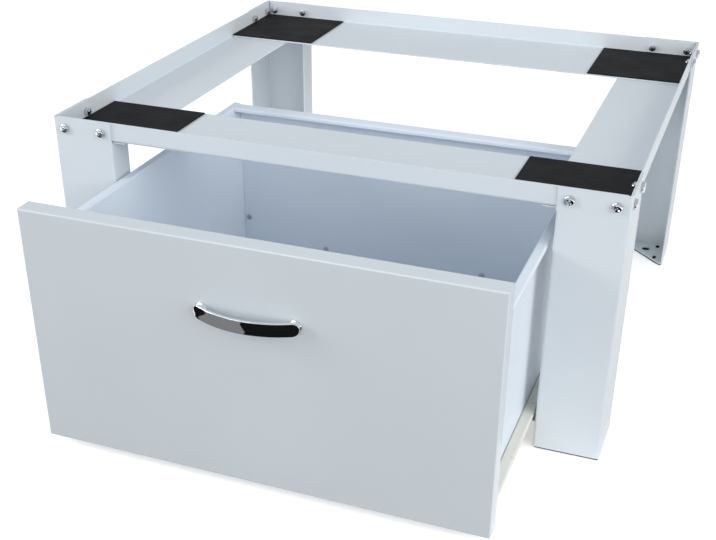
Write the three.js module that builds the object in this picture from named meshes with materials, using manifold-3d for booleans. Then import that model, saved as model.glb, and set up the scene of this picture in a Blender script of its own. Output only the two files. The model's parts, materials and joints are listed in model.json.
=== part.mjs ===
// Washer pedestal with a pull-out drawer: a folded sheet-metal frame that carries a washing
// machine in a shallow tray, and a sheet-metal drawer that runs below the tray on roller slides.
// Millimetres, +Z up. The drawer's front faces -Y, and the drawer is modelled pulled out by
// DRAWER_OPEN. The pieces are placed from the floor under the middle of the frame, and the whole
// is then moved so that the origin is under the middle of the open pedestal.

import * as THREE from 'three';
import { mergeVertices } from 'three/addons/utils/BufferGeometryUtils.js';
import Module from 'manifold-3d';

const wasm = await Module();
wasm.setup();

// ---- driving dimensions ---------------------------------------------------------------

const FRAME_WIDTH = 630; // over the legs, X
const FRAME_DEPTH = 570; // over the legs, Y
const FRAME_HEIGHT = 300; // floor to the tray's rim

const LEG_SHEET = 1.5; // sheet of the legs and of the tray's rails
const LEG_FACE = 71; // width of a leg's front or rear face
const LEG_SIDE = 68; // depth of a leg's outer side flange
const LEG_RETURN = 33; // depth of a leg's inner flange, which carries the slide
const LEG_BEND = 1.5; // inner bend radius of legs and rails
const FOOT_CHAMFER = 5; // flat ends of the triangular foot plate's long edge
const FOOT_HOLE_RADIUS = 6;
const FOOT_HOLE_INSET_X = 28; // from the leg's outer faces
const FOOT_HOLE_INSET_Y = 26;
const FOOT_SLOT_RADIUS = 2.7;
const FOOT_SLOT_LENGTH = 12;
const FOOT_SLOT_INSET_X = 13;
const FOOT_SLOT_INSETS_Y = [12, 50];
const FOOT_RUBBER = 1.6; // thickness of the rubber under a foot plate
const FOOT_RUBBER_INSET = 0.8;

const RIM_HEIGHT = 20; // tray rim above the shelf's top
const FRONT_SHELF = 117; // shelf of the front rail, from the rim's inside
const REAR_SHELF = 128; // shelf of the rear rail
const SIDE_SHELF = 82; // shelf of a side rail

const PAD_WIDTH = 120; // anti-slip pads in the tray's corners, X
const PAD_THICKNESS = 1.2;
const PAD_EDGE = 0.8; // the pad stops this far behind the shelf's edge

const BOLT_FIRST = 14; // first bolt from the leg's outer corner
const BOLT_PITCH = 45;
const BOLT_DROP = 12.4; // bolt axis below the rim
const BOLT_RADIUS = 2.5;
const BOLT_HEAD_RADIUS = 5.6;
const BOLT_HEAD_HEIGHT = 3.4;
const NUT_ACROSS_FLATS = 8;
const NUT_HEIGHT = 4;
const BOLT_TIP = 2; // thread showing beyond the nut

const DRAWER_OPEN = 177; // how far the drawer stands open here
const FRONT_GAP = 1; // between the drawer's front and the legs, each side
const FRONT_TOP_GAP = 6.3; // between the drawer's front and the front rail
const FRONT_FLOOR_GAP = 10;
const FRONT_THICKNESS = 22;
const FRONT_SHEET = 1.2;
const FRONT_ROUND = 1.5; // rounding of the front's folded edges
const FRONT_RETURN = 12; // flange folded in at the back of the front

const BOX_SHEET = 1.2; // sheet of the drawer's walls
const BOX_BEND = 1.0;
const SLIDE_ROOM = 14.8; // between a side wall and a leg's inner flange, for the slide
const BOX_DEPTH = 443; // from the front's back to the end of the side walls
const BOX_TOP = 237;
const BOX_TAB = 13; // tabs at the walls' ends and bottoms
const WALL_FLANGE = 9.6; // flange on a side wall, folded outwards
const WALL_LIP = 4; // turned-down edge of that flange
const BACK_FLANGE = 18; // flange on the back wall, folded inwards
const BACK_LIP = 5;

const BOX_DROP = 27.2; // bottom of the side walls below the slides' track

const SLIDE_SHEET = 1.2;
const SLIDE_BEND = 0.6;
const SLIDE_BACK_INSET = 7; // frame member's rear end ahead of the legs' rear face
const SLIDE_BOTTOM = 18;
const SLIDE_LEDGE = 10; // lower flange of the frame member
const SLIDE_LEDGE_LIP = 4;
const SLIDE_UPPER = 8.6; // upper flange of the frame member
const TRACK_TOP = 41; // top of the drawer member's track
const TRACK_LIP = 4;
const RUNNER_BACK_INSET = 3; // drawer member's rear end ahead of the side walls' ends
const RUNNER_FOOT = 13; // its flange below the drawer
const RUNNER_FRONT = 4; // runner starts this far behind the front
const ROLLER_RADIUS = 9.5;
const ROLLER_WIDTH = 4.6;
const ROLLER_SIDE_GAP = 0.5; // beside a roller, to the lips that guide it
const ROLLER_BORE = 2.6;
const ROLLER_CHAMFER = 0.8;
const ROLLER_GAP = 0.1; // running gap between a roller and its track
const AXLE_RADIUS = 2.5;
const AXLE_HEAD_RADIUS = 4;
const AXLE_HEAD = 0.9;
const FRONT_ROLLER_INSET = 22; // frame roller behind the member's front end
const REAR_ROLLER_INSET = 14; // drawer roller ahead of the member's rear end
const CLOSED_GAP = 1; // between the slides and the back of the closed front
const SLOT_COUNT = 3; // fixing slots in each frame member, between the legs
const SLOT_END_MARGIN = 60; // from a leg's inner flange to the nearest slot
const SLOT_LENGTH = 18;
const SLOT_RADIUS = 2.5;

const HANDLE_Z = 201.5;
const HANDLE_PITCH = 96; // between the posts
const HANDLE_HALF_LENGTH = 54.5;
const HANDLE_HEIGHT = 13.8;
const HANDLE_REACH = 21.5; // front face of the bow, from the drawer's front
const HANDLE_END_REACH = 6; // the same at the bow's tips
const HANDLE_THICKNESS = 3.6;
const POST_RADIUS = 5;
const POST_FOOT_RADIUS = 6.2;
const POST_FOOT_HEIGHT = 1.6;
const POST_FOOT_EDGE = 0.6; // straight edge of that foot
const POST_BORE = 5.5; // threaded hole in a post

const SCREW_RADIUS = 2;
const SCREW_HEAD_RADIUS = 3.8;
const SCREW_HEAD_HEIGHT = 2;
const SCREW_TIP = 2.5; // end of a screw beyond the sheets it holds
const CORNER_SCREW_Z = 78;
const RIVET_X = 108.5;
const RIVET_Z = 48;

const SEAT_GAP = 0.3; // between pieces that touch
const HOLE_CLEARANCE = 0.3; // around a screw in its hole
const CUT_OVERRUN = 1; // cuts start and end this far outside
const BITE = 0.1; // parts of one piece reach this far into each other

const ROUND_STEPS = 16; // facets of a small round piece
const HOLE_STEPS = 12;
const SHANK_STEPS = 10;
const COLUMN_STEPS = 20; // facets of a foot plate's hole or a handle's post
const ROLLER_STEPS = 32;
const FOLD_STEPS = 3; // facets of a fold in the sheet
const FRONT_ROUND_STEPS = 4;
const BOW_STEPS = 40;
const BOW_END_STEPS = 20;
const SLOT_STEPS = 6; // facets of a slot's round end
const BOW_ARC_MARGIN = 1.05; // the bow's arc before its ends are cut
const MERGE_DISTANCE = 1e-4;

// Pan head: shares of its radius and of its height.
const PAN_HEAD = [[0, 0], [1, 0], [1, 0.35], [0.88, 0.72], [0.58, 0.94], [0, 1]];

// ---- places that follow from them -----------------------------------------------------

const HALF_W = FRAME_WIDTH / 2;
const HALF_D = FRAME_DEPTH / 2;
const LEG_BOTTOM = FOOT_RUBBER + SEAT_GAP;
const SHELF_TOP = FRAME_HEIGHT - RIM_HEIGHT;
const SHELF_BOTTOM = SHELF_TOP - LEG_SHEET;
const SIDE_SHELF_TOP = SHELF_BOTTOM - SEAT_GAP; // the side rails lie under the others
const SIDE_SHELF_BOTTOM = SIDE_SHELF_TOP - LEG_SHEET;
const RETURN_TOP = SIDE_SHELF_BOTTOM - 2 * SEAT_GAP;
const RIM_OUTER_X = HALF_W - LEG_SHEET - SEAT_GAP;
const RIM_INNER_X = RIM_OUTER_X - LEG_SHEET;
const RIM_OUTER_Y = HALF_D - LEG_SHEET - SEAT_GAP;
const RIM_INNER_Y = RIM_OUTER_Y - LEG_SHEET;
const OPENING_HALF = HALF_W - LEG_FACE; // between the legs' inner flanges
const BOLT_Z = FRAME_HEIGHT - BOLT_DROP;

const FRONT_FACE_Y = -HALF_D - DRAWER_OPEN;
const FRONT_BACK_Y = FRONT_FACE_Y + FRONT_THICKNESS;
const FRONT_HALF_WIDTH = OPENING_HALF - FRONT_GAP;
const FRONT_BOTTOM = FRONT_FLOOR_GAP;
const FRONT_TOP = SHELF_BOTTOM - FRONT_TOP_GAP;
const FRONT_SKIN_BACK_Y = FRONT_BACK_Y - FRONT_SHEET - SEAT_GAP;

const BOX_HALF_WIDTH = OPENING_HALF - SLIDE_ROOM; // outside of a side wall
const WALL_FRONT_Y = FRONT_BACK_Y + SEAT_GAP;
const WALL_BACK_Y = WALL_FRONT_Y + BOX_DEPTH;
const WALL_INNER_X = BOX_HALF_WIDTH - BOX_SHEET;
const RUNNER_INNER_X = BOX_HALF_WIDTH + SEAT_GAP;
const RUNNER_OUTER_X = RUNNER_INNER_X + SLIDE_SHEET;
const BOX_BOTTOM = TRACK_TOP - BOX_DROP;
const RUNNER_BOTTOM = BOX_BOTTOM - SEAT_GAP - SLIDE_SHEET;
const FLOOR_BOTTOM = BOX_BOTTOM + BOX_SHEET + SEAT_GAP;

const MEMBER_OUTER_X = OPENING_HALF - SEAT_GAP;
const MEMBER_INNER_X = MEMBER_OUTER_X - SLIDE_SHEET;
const MEMBER_FRONT_Y = -HALF_D + FRONT_THICKNESS + CLOSED_GAP;
const MEMBER_BACK_Y = HALF_D - SLIDE_BACK_INSET;
const MEMBER_TOP = TRACK_TOP + 2 * SEAT_GAP + SLIDE_SHEET;
const ROLLER_INNER_X = MEMBER_OUTER_X - SLIDE_LEDGE + SLIDE_SHEET + ROLLER_SIDE_GAP;
const ROLLER_OUTER_X = ROLLER_INNER_X + ROLLER_WIDTH;
const TRACK_LIP_X = ROLLER_OUTER_X + ROLLER_SIDE_GAP; // inner face of the track's turned-down edge
const FRAME_ROLLER_Y = MEMBER_FRONT_Y + FRONT_ROLLER_INSET;
const FRAME_ROLLER_Z = TRACK_TOP - SLIDE_SHEET - ROLLER_GAP - ROLLER_RADIUS;
const RUNNER_FRONT_Y = WALL_FRONT_Y + RUNNER_FRONT;
const RUNNER_BACK_Y = WALL_BACK_Y - RUNNER_BACK_INSET;
const DRAWER_ROLLER_Y = RUNNER_BACK_Y - REAR_ROLLER_INSET;
const DRAWER_ROLLER_Z = SLIDE_BOTTOM + SLIDE_SHEET + ROLLER_GAP + ROLLER_RADIUS;

// ---- materials ------------------------------------------------------------------------

const finish = (color, roughness, metalness) =>
  new THREE.MeshStandardMaterial({ color, roughness, metalness });

const MATERIALS = {
  powder: () => finish(0xd9e0e8, 0.45, 0.0),
  rubber: () => finish(0x1b1c1d, 0.9, 0.0),
  chrome: () => finish(0xd6d8dc, 0.12, 1.0),
  zinc: () => finish(0xb9bdc2, 0.35, 1.0),
  epoxy: () => finish(0xe6e3d6, 0.4, 0.0),
  nylon: () => finish(0xf0eee6, 0.5, 0.0),
};

// ---- solid helpers --------------------------------------------------------------------

function toSolid(geometry) {
  const bare = geometry.index ? geometry.toNonIndexed() : geometry.clone();
  bare.deleteAttribute('normal');
  bare.deleteAttribute('uv');
  const merged = mergeVertices(bare, MERGE_DISTANCE);
  return new wasm.Manifold(new wasm.Mesh({
    numProp: 3,
    vertProperties: new Float32Array(merged.attributes.position.array),
    triVerts: new Uint32Array(merged.index.array),
  }));
}

function toGeometry(solid) {
  const mesh = solid.getMesh();
  const geometry = new THREE.BufferGeometry();
  geometry.setAttribute('position', new THREE.BufferAttribute(mesh.vertProperties, 3));
  geometry.setIndex(new THREE.BufferAttribute(mesh.triVerts, 1));
  geometry.computeVertexNormals();
  return geometry;
}

const joined = (first, ...rest) => rest.reduce((sum, piece) => sum.add(piece), first);
const cut = (first, ...rest) => rest.reduce((sum, piece) => sum.subtract(piece), first);

// A block given by its two opposite corners.
function block(x0, x1, y0, y1, z0, z1) {
  const geometry = new THREE.BoxGeometry(Math.abs(x1 - x0), Math.abs(y1 - y0), Math.abs(z1 - z0));
  geometry.translate((x0 + x1) / 2, (y0 + y1) / 2, (z0 + z1) / 2);
  return toSolid(geometry);
}

// A revolved piece: profile points are [radius, distance along the axis], and the axis starts
// at a point and runs along a direction.
function revolved(profile, at, direction, segments = ROUND_STEPS, startAngle = 0) {
  const points = profile.map(([radius, along]) => new THREE.Vector2(radius, along));
  const geometry = new THREE.LatheGeometry(points, segments, startAngle);
  const turn = new THREE.Quaternion().setFromUnitVectors(
    new THREE.Vector3(0, 1, 0), new THREE.Vector3(...direction).normalize());
  geometry.applyQuaternion(turn);
  geometry.translate(...at);
  return toSolid(geometry);
}

function rod(radius, length, at, direction, segments = ROUND_STEPS) {
  return revolved([[0, 0], [radius, 0], [radius, length], [0, length]], at, direction, segments);
}

function panHead(radius, height, at, direction) {
  const profile = PAN_HEAD.map(([across, up]) => [across * radius, up * height]);
  return revolved(profile, at, direction);
}

// Two of its flats face up and down.
function hexagon(acrossFlats, length, at, direction) {
  const radius = acrossFlats / Math.sqrt(3);
  const profile = [[0, 0], [radius, 0], [radius, length], [0, length]];
  return revolved(profile, at, direction, 6, Math.PI / 6);
}

// The outline of a folded sheet seen from its end. The path runs along one face of the sheet,
// the sheet lies on the path's left, and each fold keeps the given inner radius.
function foldedOutline(path, sheet, innerRadius, steps = FOLD_STEPS) {
  const near = [];
  const far = [];
  path.forEach(([x, y], index) => {
    const here = new THREE.Vector2(x, y);
    const before = index > 0 ? new THREE.Vector2(...path[index - 1]) : null;
    const after = index < path.length - 1 ? new THREE.Vector2(...path[index + 1]) : null;
    const into = before ? here.clone().sub(before).normalize() : null;
    const out = after ? after.clone().sub(here).normalize() : null;
    const left = (d) => new THREE.Vector2(-d.y, d.x);
    if (!into || !out) {
      const side = left(into || out).multiplyScalar(sheet);
      near.push(here);
      far.push(here.clone().add(side));
      return;
    }
    const turn = Math.atan2(into.x * out.y - into.y * out.x, into.dot(out));
    const side = Math.sign(turn);
    const nearRadius = side > 0 ? innerRadius + sheet : innerRadius;
    const farRadius = side > 0 ? innerRadius : innerRadius + sheet;
    const back = nearRadius * Math.tan(Math.abs(turn) / 2);
    const start = here.clone().addScaledVector(into, -back);
    const centre = start.clone().addScaledVector(left(into), side * nearRadius);
    for (let step = 0; step <= steps; step += 1) {
      const angle = (turn * step) / steps;
      const arm = left(into).multiplyScalar(-side).rotateAround(new THREE.Vector2(), angle);
      near.push(centre.clone().addScaledVector(arm, nearRadius));
      far.push(centre.clone().addScaledVector(arm, farRadius));
    }
  });
  return new THREE.Shape([...near, ...far.reverse()]);
}

// Each arc of the outline gets the given number of facets.
function extruded(shape, length, arcFacets = BOW_STEPS) {
  return new THREE.ExtrudeGeometry(
    shape, { depth: length, bevelEnabled: false, steps: 1, curveSegments: arcFacets / 2 });
}

// An outline in X and Y, raised along Z from z0 to z1.
function raised(shape, z0, z1, arcFacets) {
  return toSolid(extruded(shape, z1 - z0, arcFacets).translate(0, 0, z0));
}

// An outline in X and Z, run along Y from y0 to y1.
function runAlongY(shape, y0, y1) {
  const geometry = extruded(shape, y1 - y0);
  geometry.rotateX(Math.PI / 2).translate(0, y1, 0);
  return toSolid(geometry);
}

// An outline in Y and Z, run along X from x0 to x1.
function runAlongX(shape, x0, x1, arcFacets) {
  const geometry = extruded(shape, x1 - x0, arcFacets);
  const turn = new THREE.Matrix4().makeBasis(
    new THREE.Vector3(0, 1, 0), new THREE.Vector3(0, 0, 1), new THREE.Vector3(1, 0, 0));
  geometry.applyMatrix4(turn).translate(x0, 0, 0);
  return toSolid(geometry);
}

// A slot with round ends around a middle point, as long as one of the two given lengths.
function slotOutline(middleX, middleY, radius, lengthX, lengthY) {
  const straightX = Math.max(0, lengthX / 2 - radius);
  const straightY = Math.max(0, lengthY / 2 - radius);
  const turn = Math.atan2(straightY, straightX);
  const outline = new THREE.Shape();
  outline.absarc(
    middleX + straightX, middleY + straightY, radius, turn - Math.PI / 2, turn + Math.PI / 2, false);
  outline.absarc(
    middleX - straightX, middleY - straightY, radius, turn + Math.PI / 2, turn + 1.5 * Math.PI, false);
  return outline;
}

// The same piece on the other side of the frame.
const mirroredX = (solid, side) => (side > 0 ? solid : solid.mirror([1, 0, 0]));
const mirroredY = (solid, side) => (side > 0 ? solid : solid.mirror([0, 1, 0]));

const group = new THREE.Group();

function addPiece(name, solid, material) {
  const mesh = new THREE.Mesh(toGeometry(solid), MATERIALS[material]());
  mesh.name = name;
  group.add(mesh);
}

const SIDES = [['left', -1], ['right', 1]];
const ENDS = [['front', -1], ['rear', 1]];

// ---- bolts ----------------------------------------------------------------------------

// Each leg is bolted to the two rails that meet in it, twice through each face.
// A bolt site is the point on the leg's outer face and the direction into the frame.
function boltSites(sideX, sideY) {
  return [0, 1].flatMap((index) => {
    const inset = BOLT_FIRST + index * BOLT_PITCH;
    const endAt = [sideX * (HALF_W - inset), sideY * HALF_D, BOLT_Z];
    const sideAt = [sideX * HALF_W, sideY * (HALF_D - inset), BOLT_Z];
    return [
      { name: `end_${index}`, at: endAt, into: [0, -sideY, 0] },
      { name: `side_${index}`, at: sideAt, into: [-sideX, 0, 0] },
    ];
  });
}

const ALL_BOLT_SITES = ENDS.flatMap(([, sideY]) => (
  SIDES.flatMap(([, sideX]) => boltSites(sideX, sideY))));

const along = (at, into, distance) => at.map((value, axis) => value + into[axis] * distance);
const reversed = (direction) => direction.map((value) => -value);

function boltHole({ at, into }) {
  const length = 4 * LEG_SHEET + 2 * CUT_OVERRUN;
  return rod(BOLT_RADIUS + HOLE_CLEARANCE, length, along(at, into, -CUT_OVERRUN), into, HOLE_STEPS);
}

const BOLT_HOLES = ALL_BOLT_SITES.map(boltHole);

// Pan-head bolt with its hexagon nut inside the tray's rim.
function boltSolid({ at, into }) {
  const grip = 2 * LEG_SHEET + 3 * SEAT_GAP;
  const seat = along(at, into, -SEAT_GAP);
  const head = panHead(BOLT_HEAD_RADIUS, BOLT_HEAD_HEIGHT, seat, reversed(into));
  const shank = rod(
    BOLT_RADIUS, grip + NUT_HEIGHT + BOLT_TIP, along(seat, into, -BITE), into, SHANK_STEPS);
  const nut = hexagon(NUT_ACROSS_FLATS, NUT_HEIGHT, along(at, into, grip), into);
  return joined(head, shank, nut);
}

// ---- screws ---------------------------------------------------------------------------

function slideScrewSite(sideX, sideY) {
  const flangeMiddle = sideY < 0
    ? (MEMBER_FRONT_Y - (HALF_D - LEG_RETURN)) / 2
    : HALF_D - LEG_RETURN / 2;
  const screwZ = (SLIDE_BOTTOM + MEMBER_TOP) / 2;
  return { at: [sideX * (MEMBER_INNER_X - SEAT_GAP), flangeMiddle, screwZ], out: [-sideX, 0, 0] };
}

const SLIDE_SCREW_LENGTH = SLIDE_SHEET + LEG_SHEET + 2 * SEAT_GAP + SCREW_TIP;

function screwHole({ at, out }, length) {
  const start = along(at, out, CUT_OVERRUN);
  return rod(SCREW_RADIUS + HOLE_CLEARANCE, length + 2 * CUT_OVERRUN, start, reversed(out));
}

const slideScrewHole = (sideX, sideY) => screwHole(slideScrewSite(sideX, sideY), SLIDE_SCREW_LENGTH);

// The head sits where the site is, and the shank runs the other way.
function panScrew({ at, out }, length) {
  const head = panHead(SCREW_HEAD_RADIUS, SCREW_HEAD_HEIGHT, at, out);
  const shank = rod(SCREW_RADIUS, length + BITE, along(at, out, BITE), reversed(out), HOLE_STEPS);
  return joined(head, shank);
}

// ---- legs and their rubber feet -------------------------------------------------------

// The outline is drawn for the leg at +X, +Y: side flange, face, then inner flange.
function legOutline() {
  return foldedOutline([
    [HALF_W, HALF_D - LEG_SIDE],
    [HALF_W, HALF_D],
    [HALF_W - LEG_FACE, HALF_D],
    [HALF_W - LEG_FACE, HALF_D - LEG_RETURN],
  ], LEG_SHEET, LEG_BEND);
}

function legTopOutline() {
  return foldedOutline([
    [HALF_W, HALF_D - LEG_SIDE],
    [HALF_W, HALF_D],
    [HALF_W - LEG_FACE, HALF_D],
  ], LEG_SHEET, LEG_BEND);
}

// The triangle in the leg's corner, grown outwards by a margin.
function footOutline(margin) {
  const x1 = HALF_W + margin;
  const y1 = HALF_D + margin;
  const x0 = HALF_W - LEG_FACE + LEG_SHEET - margin;
  const y0 = HALF_D - LEG_SIDE - margin;
  return new THREE.Shape([
    new THREE.Vector2(x1, y1),
    new THREE.Vector2(x0, y1),
    new THREE.Vector2(x0, y1 - FOOT_CHAMFER),
    new THREE.Vector2(x1 - FOOT_CHAMFER, y0),
    new THREE.Vector2(x1, y0),
  ]);
}

// Each cut in the foot plate: its place, its radius and its length along Y.
const FOOT_HOLES = [
  [FOOT_HOLE_INSET_X, FOOT_HOLE_INSET_Y, FOOT_HOLE_RADIUS, 2 * FOOT_HOLE_RADIUS],
  ...FOOT_SLOT_INSETS_Y.map((insetY) => (
    [FOOT_SLOT_INSET_X, insetY, FOOT_SLOT_RADIUS, FOOT_SLOT_LENGTH])),
];

function legSolid() {
  const channel = raised(legOutline(), LEG_BOTTOM, RETURN_TOP);
  const top = raised(legTopOutline(), RETURN_TOP - SEAT_GAP, FRAME_HEIGHT);
  const plate = raised(footOutline(-LEG_SHEET / 2), LEG_BOTTOM, LEG_BOTTOM + LEG_SHEET);
  const holes = FOOT_HOLES.map(([insetX, insetY, radius, length]) => raised(
    slotOutline(HALF_W - insetX, HALF_D - insetY, radius, 0, length),
    LEG_BOTTOM - CUT_OVERRUN, LEG_BOTTOM + LEG_SHEET + CUT_OVERRUN, COLUMN_STEPS / 2));
  return cut(joined(channel, top, plate), ...holes);
}

const LEG = legSolid();
const FOOT = raised(footOutline(-FOOT_RUBBER_INSET), 0, FOOT_RUBBER);

for (const [endName, sideY] of ENDS) {
  for (const [sideName, sideX] of SIDES) {
    const screw = slideScrewHole(sideX, sideY);
    const leg = mirroredY(mirroredX(LEG, sideX), sideY);
    const holes = boltSites(sideX, sideY).map(boltHole);
    addPiece(`leg_${endName}_${sideName}`, cut(leg, ...holes, screw), 'powder');
    addPiece(`foot_rubber_${endName}_${sideName}`, mirroredY(mirroredX(FOOT, sideX), sideY), 'rubber');
  }
}

// ---- tray rails and pads --------------------------------------------------------------

function endRail(sideY, shelf) {
  const outline = foldedOutline([
    [RIM_OUTER_Y, FRAME_HEIGHT],
    [RIM_OUTER_Y, SHELF_BOTTOM],
    [RIM_INNER_Y - shelf, SHELF_BOTTOM],
  ].reverse(), LEG_SHEET, LEG_BEND);
  const halfLength = RIM_INNER_X - LEG_BEND - SEAT_GAP; // clear of the side rails' bends
  return mirroredY(runAlongX(outline, -halfLength, halfLength), sideY);
}

function sideRail(sideX) {
  const outline = foldedOutline([
    [RIM_OUTER_X, FRAME_HEIGHT],
    [RIM_OUTER_X, SIDE_SHELF_BOTTOM],
    [RIM_INNER_X - SIDE_SHELF, SIDE_SHELF_BOTTOM],
  ].reverse(), LEG_SHEET, LEG_BEND);
  const halfLength = RIM_INNER_Y - SEAT_GAP;
  return mirroredX(runAlongY(outline, -halfLength, halfLength), sideX);
}

addPiece('rail_front', cut(endRail(-1, FRONT_SHELF), ...BOLT_HOLES), 'powder');
addPiece('rail_rear', cut(endRail(1, REAR_SHELF), ...BOLT_HOLES), 'powder');
for (const [sideName, sideX] of SIDES) {
  addPiece(`rail_${sideName}`, cut(sideRail(sideX), ...BOLT_HOLES), 'powder');
}

for (const [endName, sideY, shelf] of [['front', -1, FRONT_SHELF], ['rear', 1, REAR_SHELF]]) {
  for (const [sideName, sideX] of SIDES) {
    const z0 = SHELF_TOP + SEAT_GAP;
    const outerX = RIM_INNER_X - 2 * SEAT_GAP;
    const outerY = RIM_INNER_Y - SEAT_GAP - LEG_BEND;
    const innerY = RIM_INNER_Y - shelf + PAD_EDGE;
    const pad = block(outerX - PAD_WIDTH, outerX, innerY, outerY, z0, z0 + PAD_THICKNESS);
    addPiece(`tray_pad_${endName}_${sideName}`, mirroredY(mirroredX(pad, sideX), sideY), 'rubber');
  }
}

for (const [endName, sideY] of ENDS) {
  for (const [sideName, sideX] of SIDES) {
    for (const site of boltSites(sideX, sideY)) {
      addPiece(`bolt_${endName}_${sideName}_${site.name}`, boltSolid(site), 'chrome');
    }
  }
}

// ---- slides: frame members ------------------------------------------------------------

// A C section that opens towards the drawer, with a turned-up edge on its lower flange.
function frameMemberOutline() {
  return foldedOutline([
    [MEMBER_OUTER_X - SLIDE_UPPER, MEMBER_TOP],
    [MEMBER_OUTER_X, MEMBER_TOP],
    [MEMBER_OUTER_X, SLIDE_BOTTOM],
    [MEMBER_OUTER_X - SLIDE_LEDGE, SLIDE_BOTTOM],
    [MEMBER_OUTER_X - SLIDE_LEDGE, SLIDE_BOTTOM + SLIDE_LEDGE_LIP],
  ].reverse(), SLIDE_SHEET, SLIDE_BEND);
}

// The stub axle stands on the web and ends in a flat head that holds the roller.
function stubAxle(webX, headX, y, z) {
  const direction = Math.sign(headX - webX);
  const length = Math.abs(headX - webX);
  return revolved([
    [0, -SLIDE_SHEET / 2],
    [AXLE_RADIUS, -SLIDE_SHEET / 2],
    [AXLE_RADIUS, length],
    [AXLE_HEAD_RADIUS, length],
    [AXLE_HEAD_RADIUS, length + AXLE_HEAD],
    [0, length + AXLE_HEAD],
  ], [webX, y, z], [direction, 0, 0]);
}

// Fixing slots lie along the middle of the web, evenly spaced between the legs.
function fixingSlot(index) {
  const reach = HALF_D - LEG_RETURN - SLOT_END_MARGIN;
  const y = -reach + (2 * reach * index) / (SLOT_COUNT - 1);
  const z = (SLIDE_BOTTOM + MEMBER_TOP) / 2;
  const outline = slotOutline(y, z, SLOT_RADIUS, SLOT_LENGTH, 0);
  return runAlongX(outline, MEMBER_INNER_X - CUT_OVERRUN, MEMBER_OUTER_X + CUT_OVERRUN, SLOT_STEPS);
}

const FRAME_MEMBER = cut(
  joined(
    runAlongY(frameMemberOutline(), MEMBER_FRONT_Y, MEMBER_BACK_Y),
    stubAxle(MEMBER_INNER_X, ROLLER_INNER_X - SEAT_GAP, FRAME_ROLLER_Y, FRAME_ROLLER_Z),
  ),
  ...Array.from({ length: SLOT_COUNT }, (_, index) => fixingSlot(index)),
);

for (const [sideName, sideX] of SIDES) {
  const holes = ENDS.map(([, sideY]) => slideScrewHole(sideX, sideY));
  addPiece(`slide_frame_${sideName}`, cut(mirroredX(FRAME_MEMBER, sideX), ...holes), 'epoxy');
  for (const [endName, sideY] of ENDS) {
    const site = slideScrewSite(sideX, sideY);
    addPiece(`slide_screw_${endName}_${sideName}`, panScrew(site, SLIDE_SCREW_LENGTH), 'zinc');
  }
}

// ---- slides: drawer members and rollers -----------------------------------------------

// A Z section: a flange below the drawer, a web beside it, and the track that the frame's
// roller carries, with a turned-down edge.
function drawerMemberOutline() {
  return foldedOutline([
    [RUNNER_OUTER_X - SLIDE_SHEET - RUNNER_FOOT, RUNNER_BOTTOM],
    [RUNNER_OUTER_X, RUNNER_BOTTOM],
    [RUNNER_OUTER_X, TRACK_TOP - SLIDE_SHEET],
    [TRACK_LIP_X, TRACK_TOP - SLIDE_SHEET],
    [TRACK_LIP_X, TRACK_TOP - TRACK_LIP],
  ], SLIDE_SHEET, SLIDE_BEND);
}

const DRAWER_MEMBER = joined(
  runAlongY(drawerMemberOutline(), RUNNER_FRONT_Y, RUNNER_BACK_Y),
  stubAxle(RUNNER_OUTER_X, ROLLER_OUTER_X + SEAT_GAP, DRAWER_ROLLER_Y, DRAWER_ROLLER_Z),
);

function rollerSolid(y, z) {
  const flank = ROLLER_RADIUS - ROLLER_CHAMFER;
  return revolved([
    [ROLLER_BORE, 0],
    [flank, 0],
    [ROLLER_RADIUS, ROLLER_CHAMFER],
    [ROLLER_RADIUS, ROLLER_WIDTH - ROLLER_CHAMFER],
    [flank, ROLLER_WIDTH],
    [ROLLER_BORE, ROLLER_WIDTH],
    [ROLLER_BORE, 0],
  ], [ROLLER_INNER_X, y, z], [1, 0, 0], ROLLER_STEPS);
}

const FRAME_ROLLER = rollerSolid(FRAME_ROLLER_Y, FRAME_ROLLER_Z);
const DRAWER_ROLLER = rollerSolid(DRAWER_ROLLER_Y, DRAWER_ROLLER_Z);

for (const [sideName, sideX] of SIDES) {
  addPiece(`slide_drawer_${sideName}`, mirroredX(DRAWER_MEMBER, sideX), 'epoxy');
  addPiece(`roller_frame_${sideName}`, mirroredX(FRAME_ROLLER, sideX), 'nylon');
  addPiece(`roller_drawer_${sideName}`, mirroredX(DRAWER_ROLLER, sideX), 'nylon');
}

// ---- drawer box -----------------------------------------------------------------------

// Side wall: the bottom flange turns in under the floor, and the top flange turns out.
function sideWallOutline() {
  return foldedOutline([
    [WALL_INNER_X - BOX_TAB, BOX_BOTTOM],
    [BOX_HALF_WIDTH, BOX_BOTTOM],
    [BOX_HALF_WIDTH, BOX_TOP - BOX_SHEET],
    [WALL_INNER_X + WALL_FLANGE, BOX_TOP - BOX_SHEET],
    [WALL_INNER_X + WALL_FLANGE, BOX_TOP - WALL_LIP],
  ], BOX_SHEET, BOX_BEND);
}

function sideWall() {
  const strip = runAlongY(sideWallOutline(), WALL_FRONT_Y, WALL_BACK_Y);
  const tab = (y0) => block(
    WALL_INNER_X - BOX_TAB, WALL_INNER_X + BOX_SHEET / 2, y0, y0 + BOX_SHEET,
    BOX_BOTTOM + BOX_SHEET / 2, BOX_TOP - 4 * BOX_SHEET);
  return joined(strip, tab(WALL_FRONT_Y), tab(WALL_BACK_Y - BOX_SHEET));
}

const BACK_WALL_Y = WALL_BACK_Y - BOX_SHEET - SEAT_GAP - BOX_SHEET; // its inner face

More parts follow.
